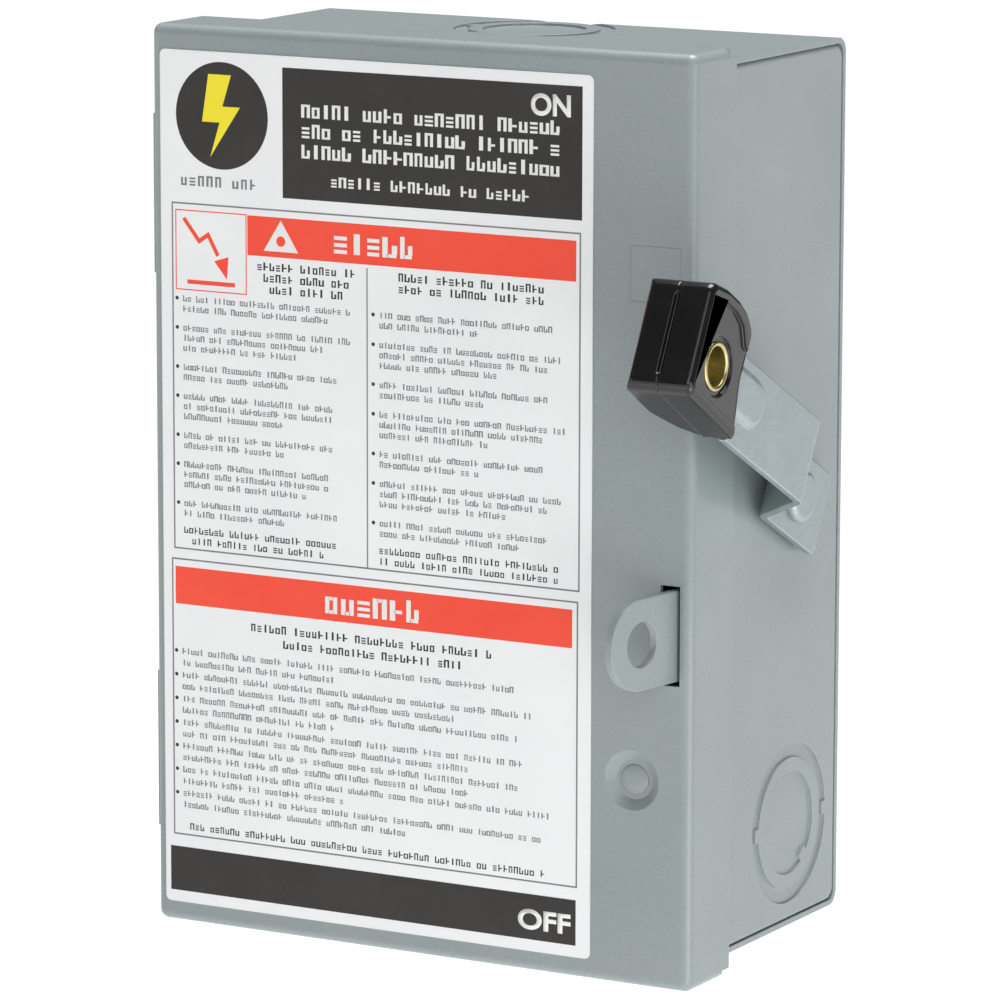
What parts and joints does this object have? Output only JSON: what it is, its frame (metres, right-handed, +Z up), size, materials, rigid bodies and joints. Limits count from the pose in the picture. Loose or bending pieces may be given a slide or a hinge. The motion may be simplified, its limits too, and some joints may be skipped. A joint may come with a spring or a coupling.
{
  "type": "enclosed safety switch",
  "caption": "Wall-mounted sheet-steel switch box with side-hinged cover, padlock hasp, outside Z-bent lever with moulded grip, blade switch and plug-fuse sockets.",
  "frame": {"origin": "centre of the four wall holes, on the outside face of the back panel", "axes": "+Z up, +X to the viewer's right, front of the cover facing -Y, wall at +Y"},
  "size_m": [0.1512, 0.1072, 0.1934],
  "materials": {
    "grey_paint": "satin baked enamel on steel sheet",
    "zinc_steel": "zinc-plated steel",
    "brass": "rolled brass",
    "copper": "hard-drawn copper strip",
    "aluminium": "extruded, mill finish",
    "black_moulding": "phenolic moulding",
    "white_moulding": "moulded insulator",
    "red_moulding": "moulded rotor",
    "grip_plastic": "polished black moulding",
    "green_screw": "green-tinted plated steel",
    "fibre": "vulcanised fibre sheet",
    "printed_label": "printed film, self-adhesive"
  },
  "bodies": {
    "enclosure": {"back_wrapper": "grey_paint", "right_side_wall": "grey_paint", "left_side_wall": "grey_paint", "padlock_hasp": "grey_paint", "box_hinge_leaves": "grey_paint", "hinge_pins": "zinc_steel", "box_hinge_rivets": "zinc_steel", "shaft_bushing": "brass", "bushing_nut": "zinc_steel", "switch_base": "black_moulding", "bearing_caps": "black_moulding", "bearing_cap_screws": "zinc_steel", "base_screws": "zinc_steel", "line_contacts": "copper", "load_contacts": "copper", "line_lugs": "aluminium", "line_lug_screws": "zinc_steel", "fuse_block": "black_moulding", "fuse_block_screws": "zinc_steel", "fuse_shells": "brass", "fuse_centre_contacts": "brass", "load_lugs": "aluminium", "load_lug_screws": "zinc_steel", "neutral_insulator": "white_moulding", "neutral_bar": "aluminium", "neutral_screws": "zinc_steel", "neutral_mount_screws": "zinc_steel", "ground_lug": "aluminium", "ground_screw": "green_screw", "line_barrier": "fibre", "barrier_screws": "zinc_steel"},
    "cover": {"cover_pan": "grey_paint", "front_label": "printed_label", "wiring_label": "printed_label", "cover_hinge_leaves": "grey_paint", "cover_hinge_rivets": "zinc_steel", "latch_rivet": "grey_paint", "cover_latch": "zinc_steel"},
    "handle": {"handle_arm": "zinc_steel", "grip_outer_half": "grip_plastic", "grip_inner_half": "grip_plastic", "grip_eyelet": "brass", "drive_shaft": "zinc_steel", "shaft_washer": "zinc_steel", "rotor": "red_moulding", "switch_blades": "copper"}
  },
  "joints": [
    {"name": "cover_hinge", "type": "hinge", "parent": "enclosure", "child": "cover", "pos_m": [-0.067, -0.0547, 0], "axis": [0, 0, -1], "range_deg": [0, 160]},
    {"name": "handle_pivot", "type": "hinge", "parent": "enclosure", "child": "handle", "pos_m": [0, -0.027, 0], "axis": [1, 0, 0], "range_deg": [0, 56]}
  ]
}
